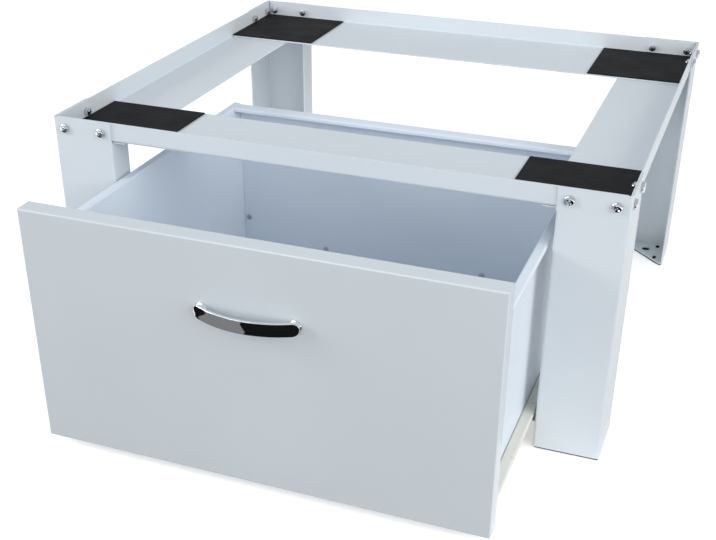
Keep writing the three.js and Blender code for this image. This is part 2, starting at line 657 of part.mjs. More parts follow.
const CORNER_SCREW_X = WALL_INNER_X - BOX_TAB / 2;
const BACK_SCREW_LENGTH = 2 * BOX_SHEET + 2 * SEAT_GAP + SCREW_TIP;
const backScrewSite = (x, z) => ({ at: [x, BACK_WALL_Y - SEAT_GAP, z], out: [0, -1, 0] });
const backScrews = SIDES.flatMap(([sideName, sideX]) => [
  { name: `box_screw_${sideName}`, site: backScrewSite(sideX * CORNER_SCREW_X, CORNER_SCREW_Z) },
  { name: `box_rivet_${sideName}`, site: backScrewSite(sideX * RIVET_X, RIVET_Z) },
]);
const backScrewHoles = backScrews.map(({ site }) => screwHole(site, BACK_SCREW_LENGTH));

for (const [sideName, sideX] of SIDES) {
  const wall = cut(mirroredX(sideWall(), sideX), ...backScrewHoles);
  addPiece(`drawer_side_${sideName}`, wall, 'powder');
}

function backWall() {
  const outline = foldedOutline([
    [BACK_WALL_Y - BACK_FLANGE, BOX_TOP - BACK_LIP],
    [BACK_WALL_Y - BACK_FLANGE, BOX_TOP],
    [BACK_WALL_Y + BOX_SHEET, BOX_TOP],
    [BACK_WALL_Y + BOX_SHEET, FLOOR_BOTTOM + BOX_SHEET + SEAT_GAP],
    [BACK_WALL_Y - BOX_TAB, FLOOR_BOTTOM + BOX_SHEET + SEAT_GAP],
  ].reverse(), BOX_SHEET, BOX_BEND);
  const halfLength = WALL_INNER_X - SEAT_GAP;
  return runAlongX(outline, -halfLength, halfLength);
}

addPiece('drawer_back', cut(backWall(), ...backScrewHoles), 'powder');
addPiece('drawer_floor', block(
  -WALL_INNER_X + BOX_BEND + SEAT_GAP, WALL_INNER_X - BOX_BEND - SEAT_GAP,
  WALL_FRONT_Y + BOX_SHEET + SEAT_GAP, WALL_BACK_Y - BOX_SHEET - SEAT_GAP,
  FLOOR_BOTTOM, FLOOR_BOTTOM + BOX_SHEET), 'powder');
for (const { name, site } of backScrews) {
  addPiece(name, panScrew(site, BACK_SCREW_LENGTH), 'zinc');
}

// ---- drawer front ---------------------------------------------------------------------

// A rounded tray shape that opens to the back: the bevel makes the folded front edges.
function roundedSlab(halfWidth, z0, z1, frontY, backY, rounding) {
  const middle = (z0 + z1) / 2;
  const halfHeight = (z1 - z0) / 2;
  const face = new THREE.Shape([
    new THREE.Vector2(-halfWidth + rounding, -halfHeight + rounding),
    new THREE.Vector2(halfWidth - rounding, -halfHeight + rounding),
    new THREE.Vector2(halfWidth - rounding, halfHeight - rounding),
    new THREE.Vector2(-halfWidth + rounding, halfHeight - rounding),
  ]);
  const depth = backY - frontY;
  const geometry = new THREE.ExtrudeGeometry(face, {
    depth,
    bevelEnabled: true,
    bevelSize: rounding,
    bevelThickness: rounding,
    bevelSegments: FRONT_ROUND_STEPS,
  });
  geometry.rotateX(Math.PI / 2).translate(0, backY + rounding, middle);
  const slab = toSolid(geometry);
  return cut(slab, block(
    -halfWidth - CUT_OVERRUN, halfWidth + CUT_OVERRUN, backY, backY + 2 * rounding,
    z0 - CUT_OVERRUN, z1 + CUT_OVERRUN));
}

const POST_SITES = SIDES.map(([sideName, sideX]) => {
  const x = (sideX * HANDLE_PITCH) / 2;
  const seatY = FRONT_FACE_Y + FRONT_SHEET + SEAT_GAP;
  return { sideName, x, screw: { at: [x, seatY, HANDLE_Z], out: [0, 1, 0] } };
});

function frontSkin() {
  const outer = roundedSlab(
    FRONT_HALF_WIDTH, FRONT_BOTTOM, FRONT_TOP, FRONT_FACE_Y, FRONT_SKIN_BACK_Y, FRONT_ROUND);
  const hollow = block(
    -FRONT_HALF_WIDTH + FRONT_SHEET, FRONT_HALF_WIDTH - FRONT_SHEET,
    FRONT_FACE_Y + FRONT_SHEET, FRONT_SKIN_BACK_Y - FRONT_SHEET,
    FRONT_BOTTOM + FRONT_SHEET, FRONT_TOP - FRONT_SHEET);
  const mouth = block(
    -FRONT_HALF_WIDTH + FRONT_RETURN, FRONT_HALF_WIDTH - FRONT_RETURN,
    FRONT_SKIN_BACK_Y - 2 * FRONT_SHEET, FRONT_SKIN_BACK_Y + CUT_OVERRUN,
    FRONT_BOTTOM + FRONT_RETURN, FRONT_TOP - FRONT_RETURN);
  const holes = POST_SITES.map((post) => screwHole(post.screw, FRONT_SHEET + SEAT_GAP));
  return cut(outer, hollow, mouth, ...holes);
}

addPiece('drawer_front', frontSkin(), 'powder');
addPiece('drawer_front_liner', block(
  -FRONT_HALF_WIDTH + FRONT_SHEET, FRONT_HALF_WIDTH - FRONT_SHEET,
  FRONT_BACK_Y - FRONT_SHEET, FRONT_BACK_Y,
  FRONT_BOTTOM + FRONT_SHEET, FRONT_TOP - FRONT_SHEET), 'powder');

// ---- handle ---------------------------------------------------------------------------

// The bow is an arc in plan, cut to round ends seen from the front, and it stands on two posts.
const BOW_SAG = HANDLE_REACH - HANDLE_END_REACH;
const BOW_RADIUS = (HANDLE_HALF_LENGTH ** 2 + BOW_SAG ** 2) / (2 * BOW_SAG);
const BOW_CENTRE_Y = FRONT_FACE_Y - HANDLE_REACH + BOW_RADIUS;
const POST_FOOT_Y = FRONT_FACE_Y - SEAT_GAP;

function bowBand() {
  const halfAngle = Math.asin(HANDLE_HALF_LENGTH / BOW_RADIUS) * BOW_ARC_MARGIN;
  const start = -Math.PI / 2 - halfAngle;
  const end = -Math.PI / 2 + halfAngle;
  const bow = new THREE.Shape();
  bow.absarc(0, BOW_CENTRE_Y, BOW_RADIUS, start, end, false);
  bow.absarc(0, BOW_CENTRE_Y, BOW_RADIUS - HANDLE_THICKNESS, end, start, true);
  const geometry = extruded(bow, HANDLE_HEIGHT);
  return toSolid(geometry.translate(0, 0, HANDLE_Z - HANDLE_HEIGHT / 2));
}

function bowEnds() {
  const outline = slotOutline(0, HANDLE_Z, HANDLE_HEIGHT / 2, 2 * HANDLE_HALF_LENGTH, 0);
  const depth = HANDLE_REACH + 2 * CUT_OVERRUN;
  const geometry = extruded(outline, depth, BOW_END_STEPS);
  return toSolid(geometry.rotateX(Math.PI / 2).translate(0, FRONT_FACE_Y + CUT_OVERRUN, 0));
}

function handlePost(x) {
  const bowY = BOW_CENTRE_Y - Math.sqrt((BOW_RADIUS - HANDLE_THICKNESS / 2) ** 2 - x ** 2);
  const length = POST_FOOT_Y - bowY;
  return revolved([
    [0, 0],
    [POST_FOOT_RADIUS, 0],
    [POST_FOOT_RADIUS, POST_FOOT_EDGE],
    [POST_RADIUS, POST_FOOT_HEIGHT],
    [POST_RADIUS, length],
    [0, length],
  ], [x, POST_FOOT_Y, HANDLE_Z], [0, -1, 0], COLUMN_STEPS);
}

function handleSolid() {
  const strap = bowBand().intersect(bowEnds());
  const posts = POST_SITES.map(({ x }) => handlePost(x));
  const bores = POST_SITES.map(({ x }) => rod(
    SCREW_RADIUS + HOLE_CLEARANCE, POST_BORE + CUT_OVERRUN,
    [x, POST_FOOT_Y + CUT_OVERRUN, HANDLE_Z], [0, -1, 0]));
  return cut(joined(strap, ...posts), ...bores);
}

addPiece('handle', handleSolid(), 'chrome');
const HANDLE_SCREW_LENGTH = FRONT_SHEET + 2 * SEAT_GAP + POST_BORE - HOLE_CLEARANCE;
for (const { sideName, screw } of POST_SITES) {
  addPiece(`handle_screw_${sideName}`, panScrew(screw, HANDLE_SCREW_LENGTH), 'zinc');
}

// ---- origin ---------------------------------------------------------------------------

const REACH_FRONT_Y = FRONT_FACE_Y - HANDLE_REACH;
const REACH_BACK_Y = HALF_D + SEAT_GAP + BOLT_HEAD_HEIGHT;
group.position.y = -(REACH_FRONT_Y + REACH_BACK_Y) / 2;

export default group;
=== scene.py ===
"""Washing-machine pedestal with a pull-out drawer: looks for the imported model. Metres, +Z up."""
import json
import math

import bmesh
import bpy
from mathutils import Matrix, Vector


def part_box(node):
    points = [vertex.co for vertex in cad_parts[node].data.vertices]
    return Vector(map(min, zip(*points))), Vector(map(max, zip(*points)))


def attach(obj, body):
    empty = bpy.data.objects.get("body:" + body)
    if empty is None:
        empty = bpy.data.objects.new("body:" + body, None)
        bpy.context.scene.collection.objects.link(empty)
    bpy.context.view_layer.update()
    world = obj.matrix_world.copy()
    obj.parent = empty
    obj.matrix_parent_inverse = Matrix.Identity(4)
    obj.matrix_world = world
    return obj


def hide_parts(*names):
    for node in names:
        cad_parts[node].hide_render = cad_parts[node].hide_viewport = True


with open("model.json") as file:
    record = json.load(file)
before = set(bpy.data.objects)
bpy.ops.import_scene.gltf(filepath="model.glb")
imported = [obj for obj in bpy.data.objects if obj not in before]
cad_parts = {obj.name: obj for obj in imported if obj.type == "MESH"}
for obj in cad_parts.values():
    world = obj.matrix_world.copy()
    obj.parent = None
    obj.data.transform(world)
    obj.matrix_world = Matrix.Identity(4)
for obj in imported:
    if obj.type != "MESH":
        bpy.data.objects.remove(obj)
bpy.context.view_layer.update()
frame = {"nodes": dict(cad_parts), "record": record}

MM = 0.001
SIDES = (("left", -1), ("right", 1))
ENDS = (("front", -1), ("rear", 1))

# ---- camera -----------------------------------------------------------------------------

CAMERA_AT = Vector((0.41564, -1.19803, 0.71004))
CAMERA_YAW = 20.763  # degrees from +Y towards -X
CAMERA_PITCH = 29.643  # degrees below the horizon
CAMERA_ROLL = 0.218  # degrees
CAMERA_LENS = 57.29  # mm
SENSOR_WIDTH = 36  # mm
CAMERA_SHIFT = (0.01328, 0.09087)
CLIP_START, CLIP_END = 0.01, 60


def make_camera():
    yaw, pitch, roll = (math.radians(a) for a in (CAMERA_YAW, CAMERA_PITCH, CAMERA_ROLL))
    ahead = Vector((-math.sin(yaw) * math.cos(pitch), math.cos(yaw) * math.cos(pitch), -math.sin(pitch)))
    right = Vector((math.cos(yaw), math.sin(yaw), 0))
    up = right.cross(ahead)
    rolled_right = right * math.cos(roll) + up * math.sin(roll)
    rolled_up = up * math.cos(roll) - right * math.sin(roll)
    data = bpy.data.cameras.new("camera")
    data.sensor_width = SENSOR_WIDTH
    data.lens = CAMERA_LENS
    data.shift_x, data.shift_y = CAMERA_SHIFT
    data.clip_start, data.clip_end = CLIP_START, CLIP_END
    camera = bpy.data.objects.new("camera", data)
    bpy.context.scene.collection.objects.link(camera)
    turn = Matrix((rolled_right, rolled_up, -ahead)).transposed().to_4x4()
    camera.matrix_world = Matrix.Translation(CAMERA_AT) @ turn
    bpy.context.scene.camera = camera


make_camera()

# ---- materials --------------------------------------------------------------------------

NOISE_LOW, NOISE_HIGH = 0.3, 0.7  # nearly all of a noise texture's values lie between these
PAINT_IOR = 1.5
PAINT_ROUGHNESS = 0.5
COAT_ROUGHNESS = 0.1


class Surface:
    """A material with a Principled shader, and short ways to add nodes to it."""

    def __init__(self, name, color, roughness, metallic=0.0, **sockets):
        self.material = bpy.data.materials.new(name)
        self.material.use_nodes = True
        self.nodes = self.material.node_tree.nodes
        self.links = self.material.node_tree.links
        self.shader = self.nodes["Principled BSDF"]
        self.color = color
        self.set("Base Color", (*color, 1))
        self.set("Roughness", roughness)
        self.set("Metallic", metallic)
        for socket, value in sockets.items():
            self.set(socket.replace("_", " "), value)
        self.place = self.nodes.new("ShaderNodeTexCoord").outputs["Object"]

    def set(self, socket, value):
        self.shader.inputs[socket].default_value = value

    def stretched(self, scale):
        mapping = self.nodes.new("ShaderNodeMapping")
        mapping.inputs["Scale"].default_value = scale
        self.links.new(self.place, mapping.inputs["Vector"])
        return mapping.outputs["Vector"]

    def noise(self, scale, detail=2.0, place=None):
        node = self.nodes.new("ShaderNodeTexNoise")
        node.inputs["Scale"].default_value = scale
        node.inputs["Detail"].default_value = detail
        self.links.new(place or self.place, node.inputs["Vector"])
        return node.outputs["Fac"]

    def spread(self, value, low, high):
        """A noise value turned into low..high."""
        node = self.nodes.new("ShaderNodeMapRange")
        node.inputs["From Min"].default_value = NOISE_LOW
        node.inputs["From Max"].default_value = NOISE_HIGH
        node.inputs["To Min"].default_value = low
        node.inputs["To Max"].default_value = high
        self.links.new(value, node.inputs["Value"])
        return node.outputs["Result"]

    def vary_color(self, value, amount):
        """Shades the colour between darker and lighter by a small amount."""
        ramp = self.nodes.new("ShaderNodeValToRGB")
        darker, lighter = ramp.color_ramp.elements
        for element, share in ((darker, 1 - amount), (lighter, 1 + amount)):
            element.color = (*[min(1, c * share) for c in self.color], 1)
        darker.position, lighter.position = NOISE_LOW, NOISE_HIGH
        self.links.new(value, ramp.inputs["Fac"])
        self.links.new(ramp.outputs["Color"], self.shader.inputs["Base Color"])

    def vary_roughness(self, value, low, high):
        self.links.new(self.spread(value, low, high), self.shader.inputs["Roughness"])

    def bump(self, value, height, before=None):
        """Bumps of a height in metres, on top of another bump's normal where one is given."""
        node = self.nodes.new("ShaderNodeBump")
        node.inputs["Strength"].default_value = 1
        node.inputs["Distance"].default_value = height
        self.links.new(value, node.inputs["Height"])
        if before:
            self.links.new(before, node.inputs["Normal"])
        self.links.new(node.outputs["Normal"], self.shader.inputs["Normal"])
        return node.outputs["Normal"]


def powder_coat(name, color, gloss, shine):
    """Satin paint under a weak clear coat: a fine orange peel, and a shade that drifts over the sheet."""
    surface = Surface(name, color, PAINT_ROUGHNESS, IOR=PAINT_IOR, Specular_IOR_Level=shine,
                      Coat_Weight=gloss, Coat_Roughness=COAT_ROUGHNESS, Coat_IOR=PAINT_IOR)
    surface.vary_color(surface.noise(scale=9, detail=3), amount=0.012)
    surface.vary_roughness(surface.noise(scale=40, detail=2), low=0.46, high=0.54)
    peel = surface.bump(surface.noise(scale=420, detail=2), height=8e-6)
    skin = surface.bump(surface.noise(scale=1900, detail=1), height=2e-6, before=peel)
    surface.links.new(skin, surface.shader.inputs["Coat Normal"])
    return surface.material


def rubber(name, color, grain):
    """Matt rubber with a fine grain, as many lumps per metre along X, Y and Z as grain says."""
    surface = Surface(name, color, roughness=0.62, IOR=1.5, Specular_IOR_Level=0.12)
    along = surface.stretched(grain)
    surface.vary_color(surface.noise(scale=1, detail=3, place=along), amount=0.25)
    surface.vary_roughness(surface.noise(scale=30, detail=2), low=0.58, high=0.7)
    surface.bump(surface.noise(scale=1, detail=4, place=along), height=4e-5)
    return surface.material


def chrome(name, color, roughness):
    surface = Surface(name, color, roughness, metallic=1.0)
    surface.vary_roughness(surface.noise(scale=120, detail=4), low=roughness * 0.7, high=roughness * 1.4)
    surface.vary_color(surface.noise(scale=60, detail=2), amount=0.01)
    return surface.material


def zinc(name):
    surface = Surface(name, (0.52, 0.535, 0.55), roughness=0.3, metallic=1.0)
    surface.vary_color(surface.noise(scale=300, detail=4), amount=0.07)
    surface.vary_roughness(surface.noise(scale=800, detail=3), low=0.24, high=0.38)
    surface.bump(surface.noise(scale=2600, detail=2), height=4e-6)
    return surface.material


def epoxy(name):
    surface = Surface(name, (0.77, 0.755, 0.69), roughness=0.3, IOR=PAINT_IOR)
    surface.vary_color(surface.noise(scale=14, detail=3), amount=0.015)
    surface.vary_roughness(surface.noise(scale=60, detail=2), low=0.26, high=0.36)
    surface.bump(surface.noise(scale=600, detail=2), height=1e-5)
    return surface.material


def nylon(name):
    surface = Surface(name, (0.80, 0.79, 0.74), roughness=0.42, IOR=1.53, Subsurface_Weight=0.1)
    surface.vary_color(surface.noise(scale=200, detail=3), amount=0.03)
    surface.bump(surface.noise(scale=1500, detail=2), height=8e-6)
    return surface.material


MATERIALS = {
    "frame_powder": powder_coat("frame_powder", (0.664, 0.710, 0.745), gloss=0.15, shine=0.3),
    # drawer_powder is the frame's white paint made lighter and bluer: painted light and painted blue
    # shade that lift the drawer's shaded inside
    "drawer_powder": powder_coat("drawer_powder", (0.748, 0.812, 0.884), gloss=0.05, shine=0.15),
    # front_powder is the frame's white paint made darker: painted shade on the front panel, which the
    # lamps light too brightly
    "front_powder": powder_coat("front_powder", (0.632, 0.679, 0.715), gloss=0.5, shine=0.5),
    "pad_rubber": rubber("pad_rubber", (0.0085, 0.0085, 0.009), grain=(60, 900, 900)),
    "foot_rubber": rubber("foot_rubber", (0.008, 0.008, 0.009), grain=(500, 500, 500)),
    "handle_chrome": chrome("handle_chrome", (0.86, 0.87, 0.89), roughness=0.035),
    "bolt_chrome": chrome("bolt_chrome", (0.68, 0.69, 0.71), roughness=0.08),
    "zinc": zinc("zinc"),
    "slide_epoxy": epoxy("slide_epoxy"),
    "roller_nylon": nylon("roller_nylon"),
}
SLOT_OF = {row["node"]: row["material_slot"] for row in frame["record"]["subparts"]}

# ---- CAD sheets and blocks: their edges are rounded ---------------------------------------

WELD_DISTANCE = 0.01 * MM
COPLANAR = math.radians(0.5)
EDGE_ANGLE = math.radians(50)
EDGE_SEGMENTS = 2
FACE_WEIGHT = 80  # how much large faces bend the shading of the rounds
EDGE_RADIUS = {
    "leg": 0.35 * MM,
    "rail": 0.35 * MM,
    "tray_pad": 0.3 * MM,
    "foot_rubber": 0.4 * MM,
    "slide": 0.25 * MM,
    "drawer": 0.3 * MM,
}


def round_edges(node, radius):
    weld = node.modifiers.new("weld", "WELD")
    weld.merge_threshold = WELD_DISTANCE
    flatten = node.modifiers.new("flatten", "DECIMATE")
    flatten.decimate_type = "DISSOLVE"
    flatten.angle_limit = COPLANAR
    bevel = node.modifiers.new("edges", "BEVEL")
    bevel.width = radius
    bevel.segments = EDGE_SEGMENTS
    bevel.limit_method = "ANGLE"
    bevel.angle_limit = EDGE_ANGLE
    bevel.use_clamp_overlap = True
    shade = node.modifiers.new("shade", "WEIGHTED_NORMAL")
    shade.weight = FACE_WEIGHT
    shade.keep_sharp = True


for name, node in frame["nodes"].items():
    node.data.materials.clear()
    node.data.materials.append(MATERIALS[SLOT_OF[name]])
    kind = next((k for k in EDGE_RADIUS if name.startswith(k)), None)
    if kind:
        round_edges(node, EDGE_RADIUS[kind])

# ---- mesh helpers for the pieces that replace CAD nodes ------------------------------------

SHARP_ANGLE = math.radians(35)
SAME_POINT = 1e-7


def shaded(mesh):
    mesh.shade_smooth()
    mesh.set_sharp_from_angle(angle=SHARP_ANGLE)
    return mesh


def mesh_from(build, name):
    """A mesh filled by build(bm), with its faces turned outwards."""
    bm = bmesh.new()
    build(bm)
    bmesh.ops.remove_doubles(bm, verts=bm.verts, dist=SAME_POINT)
    bmesh.ops.recalc_face_normals(bm, faces=bm.faces)
    mesh = bpy.data.meshes.new(name)
    bm.to_mesh(mesh)
    bm.free()
    return shaded(mesh)


def add_ring_wall(bm, rings):
    """Joins rings of points, each a closed loop or a single point, by faces."""
    made = [[bm.verts.new(p) for p in ring] for ring in rings]
    for low, high in zip(made, made[1:]):
        count = max(len(low), len(high))
        for i in range(count):
            j = (i + 1) % count
            corners = [low[i % len(low)], low[j % len(low)], high[j % len(high)], high[i % len(high)]]
            kept = list(dict.fromkeys(corners))
            if len(kept) > 2:
                bm.faces.new(kept)


def circle(radius, z, steps):
    if radius == 0:
        return [Vector((0, 0, z))]
    angles = (2 * math.pi * i / steps for i in range(steps))
    return [Vector((radius * math.cos(a), radius * math.sin(a), z)) for a in angles]


def add_lathe(bm, profile, steps):
    add_ring_wall(bm, [circle(radius, z, steps) for radius, z in profile])


def arc_points(centre, radius, start, end, steps):
    """Points (r, z) on an arc between two angles in degrees."""
    for i in range(steps + 1):
        a = math.radians(start + (end - start) * i / steps)
        yield centre[0] + radius * math.cos(a), centre[1] + radius * math.sin(a)


def cut_out(mesh, cutter_mesh, name):
    """mesh less cutter_mesh, as a new mesh."""
    whole = bpy.data.objects.new("whole", mesh)
    cutter = bpy.data.objects.new("cutter", cutter_mesh)
    for o in (whole, cutter):
        bpy.context.scene.collection.objects.link(o)
    modifier = whole.modifiers.new("cut", "BOOLEAN")
    modifier.operation = "DIFFERENCE"
    modifier.solver = "EXACT"
    modifier.object = cutter
    graph = bpy.context.evaluated_depsgraph_get()
    result = bpy.data.meshes.new_from_object(whole.evaluated_get(graph))
    result.name = name
    for o in (whole, cutter):
        bpy.data.objects.remove(o)
    return shaded(result)


def add_piece(name, mesh, place, body, slot, node):
    """A piece of a body that takes the place of a CAD node."""
    mesh_copy = mesh.copy()
    mesh_copy.transform(place)
    mesh_copy.materials.clear()
    mesh_copy.materials.append(MATERIALS[slot])
    piece = bpy.data.objects.new(name, mesh_copy)
    bpy.context.scene.collection.objects.link(piece)
    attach(piece, body)
    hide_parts(node)


def looking(at, outward):
    """The place of a piece that is drawn along +Z and stands at a point, facing outward."""
    return Matrix.Translation(at) @ Vector(outward).to_track_quat("Z", "Y").to_matrix().to_4x4()


def middle(node):
    low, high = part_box(node)
    return (low + high) / 2


# ---- bolts, screws and rivets --------------------------------------------------------------

BOLT_HEAD_HEIGHT = 3.4 * MM
BOLT_SHANK_RADIUS = 2.5 * MM
BOLT_GRIP = 4.2 * MM  # from under the head to the nut
NUT_FLATS = 8 * MM
NUT_HEIGHT = 4 * MM
NUT_CROWN = 0.47 * NUT_FLATS  # outside this radius the nut's faces slope away
NUT_SLOPE = math.tan(math.radians(30))
NUT_STEPS = 72
THREAD_PITCH = 0.8 * MM
THREAD_DEPTH = 0.3 * MM
TIP_CHAMFER = 0.3 * MM
SCREW_HEAD_HEIGHT = 2 * MM
SCREW_SHANK_RADIUS = 2 * MM
SCREW_PLAIN = 1.5 * MM  # shank without a thread, under the head
ROUND_STEPS = 48

HEAD_RIM = 0.18  # radius of the head's lower edge, as a share of its height
HEAD_SHOULDER = 0.42  # the dome starts at this share of the height
HEAD_FULLNESS = 0.62  # the lower this power, the fuller the dome
HEAD_STEPS = 14

CROSS_DEPTH = 0.62  # share of the head's height
CROSS_MOUTH = (0.6, 0.13)  # half length and half width of an arm, as shares of the head's radius
CROSS_TIP = (0.2, 0.06)  # the same at the cross's bottom
CROSS_FLARE = 0.4
CROSS_OVER = 0.5 * MM  # the cutter stands this far out of the head


def pan_head_profile(radius, height):
    """From the head's lower edge up over the dome to its middle."""
    rim = HEAD_RIM * height
    yield radius - rim / 2, 0
    yield from arc_points((radius - rim, rim), rim, -60, 0, 4)
    shoulder = HEAD_SHOULDER * height
    for i in range(1, HEAD_STEPS):
        angle = i / HEAD_STEPS * math.pi / 2
        across = radius * math.cos(angle) ** HEAD_FULLNESS
        yield across, shoulder + (height - shoulder) * math.sin(angle)
    yield 0, height


def headed(shank, radius, height, name):
    """A pan head with its cross, on the shank whose profile is given from its tip up."""
    profile = [*shank, *pan_head_profile(radius, height)]
    mesh = mesh_from(lambda bm: add_lathe(bm, profile, ROUND_STEPS), name)
    for turn in (0, 1):
        mesh = cut_out(mesh, one_arm_cutter(radius, height, turn), name)
    return mesh


def one_arm_cutter(radius, top, turn):
    """One bar of the tapered cross of a screwdriver's tip, over a head of this radius and top."""
    depth = CROSS_DEPTH * top
    grow = 1 + CROSS_OVER / depth * CROSS_FLARE
    spin = Matrix.Rotation(turn * math.pi / 2 + math.pi / 4, 4, "Z")

    def ring(shares, z):
        half_length, half_width = (share * radius for share in shares)
        corners = ((-1, -1), (1, -1), (1, 1), (-1, 1))
        return [spin @ Vector((sx * half_length, sy * half_width, z)) for sx, sy in corners]

    mouth = [share * grow for share in CROSS_MOUTH]
    rings = [
        [spin @ Vector((0, 0, top - depth))],
        ring(CROSS_TIP, top - depth),
        ring(mouth, top + CROSS_OVER),
        [spin @ Vector((0, 0, top + CROSS_OVER))],
    ]
    return mesh_from(lambda bm: add_ring_wall(bm, rings), "cross_cutter")


def threaded(radius, start, end):
    """Profile of a thread, from its chamfered tip at end up to start."""
    root = radius - THREAD_DEPTH
    yield 0, end
    yield root - TIP_CHAMFER, end
    z = end + TIP_CHAMFER
    while z + THREAD_PITCH < start:
        yield root, z
        yield radius, z + THREAD_PITCH / 2
        z += THREAD_PITCH
    yield root, z
    yield radius, start


def add_nut(bm, top):
    """A hexagon nut whose corners are chamfered; its top face lies at z = top."""
    bottom = top - NUT_HEIGHT
    bore = BOLT_SHANK_RADIUS - THREAD_DEPTH / 2
    rings = [[] for _ in range(6)]
    for i in range(NUT_STEPS):
        angle = 2 * math.pi * i / NUT_STEPS
        across = NUT_FLATS / 2 / math.cos((angle + math.pi / 6) % (math.pi / 3) - math.pi / 6)
        drop = max(0.0, across - NUT_CROWN) * NUT_SLOPE
        way = Vector((math.cos(angle), math.sin(angle), 0))
        section = ((bore, top), (NUT_CROWN, top), (across, top - drop),
                   (across, bottom + drop), (NUT_CROWN, bottom), (bore, bottom))
        for ring, (reach, z) in zip(rings, section):
            ring.append(way * reach + Vector((0, 0, z)))
    add_ring_wall(bm, [*rings, rings[0]])


def bolt_mesh(radius, length):
    """Head seat at z = 0, head above, shank, nut and thread below."""
    end = BOLT_HEAD_HEIGHT - length
    shank = [*threaded(BOLT_SHANK_RADIUS, -BOLT_GRIP - NUT_HEIGHT, end), (BOLT_SHANK_RADIUS, 0)]
    bolt = headed(shank, radius, BOLT_HEAD_HEIGHT, "bolt")

    def build(bm):
        bm.from_mesh(bolt)
        add_nut(bm, -BOLT_GRIP)

    return mesh_from(build, "bolt")


def screw_mesh(radius, length):
    """Head seat at z = 0, head above, thread below."""
    end = SCREW_HEAD_HEIGHT - length
    shank = [*threaded(SCREW_SHANK_RADIUS, -SCREW_PLAIN, end), (SCREW_SHANK_RADIUS, 0)]
    return headed(shank, radius, SCREW_HEAD_HEIGHT, "screw")


RIVET_TOP = 0.8 * SCREW_HEAD_HEIGHT
RIVET_RIM = 0.3 * MM
RIVET_STEPS = 9
RIVET_HOLE = 0.32  # share of the head's radius
MANDREL_RADIUS = 0.24  # share of the head's radius
MANDREL_GROOVE = 0.5 * MM  # depth of the groove round the mandrel
MANDREL_EDGE = 0.15 * MM
BULB_ROUND = 0.9 * MM
BULB_END = 0.7  # share of the bulb's radius that is flat


def rivet_mesh(radius, length):
    """A blind rivet: a low dome with the mandrel's end in its middle, and the bulb at the other end."""
    end = SCREW_HEAD_HEIGHT - length
    bulb = SCREW_SHANK_RADIUS
    rim_centre = radius - RIVET_RIM
    hole, mandrel = RIVET_HOLE * radius, MANDREL_RADIUS * radius
    groove = RIVET_TOP - MANDREL_GROOVE

    def dome():
        for i in range(1, RIVET_STEPS):
            angle = math.pi / 2 * i / RIVET_STEPS
            across = hole + (rim_centre - hole) * math.cos(angle)
            yield across, RIVET_RIM + (RIVET_TOP - RIVET_RIM) * math.sin(angle)

    profile = [
        (0, end),
        (BULB_END * bulb, end),
        *arc_points((bulb - BULB_ROUND, end + BULB_ROUND), BULB_ROUND, -60, 0, 6),
        (bulb, 0),
        (radius - RIVET_RIM / 2, 0),
        *arc_points((rim_centre, RIVET_RIM), RIVET_RIM, -60, 40, 5),
        *dome(),
        (hole, RIVET_TOP),
        (hole, groove),
        (mandrel, groove),
        *arc_points((mandrel - MANDREL_EDGE, RIVET_TOP - MANDREL_EDGE), MANDREL_EDGE, 0, 90, 3),
        (0, RIVET_TOP),
    ]
    return mesh_from(lambda bm: add_lathe(bm, profile, ROUND_STEPS), "rivet")


def place_on_node(node, mesh, outward, head_height, body, slot, suffix):
    """A fastener in the place of a node, with its head at the node's end that looks outward."""
    low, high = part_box(node)
    way = Vector(outward)
    reach = sum(abs(way[i]) * (high[i] - low[i]) / 2 for i in range(3))
    seat = middle(node) + way * (reach - head_height)
    add_piece(f"{node}_{suffix}", mesh, looking(seat, way), body, slot, node)


def make_bolts():
    low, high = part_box("bolt_front_left_end_0")
    mesh = bolt_mesh((high.x - low.x) / 2, high.y - low.y)
    for end, sign_y in ENDS:
        for side, sign_x in SIDES:
            for face, outward in (("end", (0, sign_y, 0)), ("side", (sign_x, 0, 0))):
                for index in (0, 1):
                    place_on_node(f"bolt_{end}_{side}_{face}_{index}", mesh, outward, BOLT_HEAD_HEIGHT,
                                  "frame", "bolt_chrome", "cross_head")


def make_screws():
    low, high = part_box("box_screw_left")
    radius, length = (high.x - low.x) / 2, high.y - low.y
    screw = screw_mesh(radius, length)
    rivet = rivet_mesh(radius, length)
    low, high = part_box("slide_screw_front_left")
    slide_screw = screw_mesh(radius, high.x - low.x)

    def place(node, mesh, outward, body, suffix):
        place_on_node(node, mesh, outward, SCREW_HEAD_HEIGHT, body, "zinc", suffix)

    for side, sign_x in SIDES:
        place(f"box_screw_{side}", screw, (0, -1, 0), "drawer", "cross_head")
        place(f"box_rivet_{side}", rivet, (0, -1, 0), "drawer", "blind_rivet")
        for end, _ in ENDS:
            place(f"slide_screw_{end}_{side}", slide_screw, (-sign_x, 0, 0), "frame", "cross_head")


make_bolts()
make_screws()

# ---- rollers: a rim, a thin web and a hub ------------------------------------------------------

ROLLER_BORE = 2.6 * MM
ROLLER_RIM = 2.0 * MM
ROLLER_HUB = 4.6 * MM
ROLLER_RECESS = 0.7 * MM
ROLLER_EDGE = 0.8 * MM  # round of the tread's two edges
FILLET = 0.4 * MM  # between the web and the hub or the rim
FILLET_RISE = 0.3 * MM
FILLET_REACH = 0.6 * MM
ROLLER_STEPS = 96


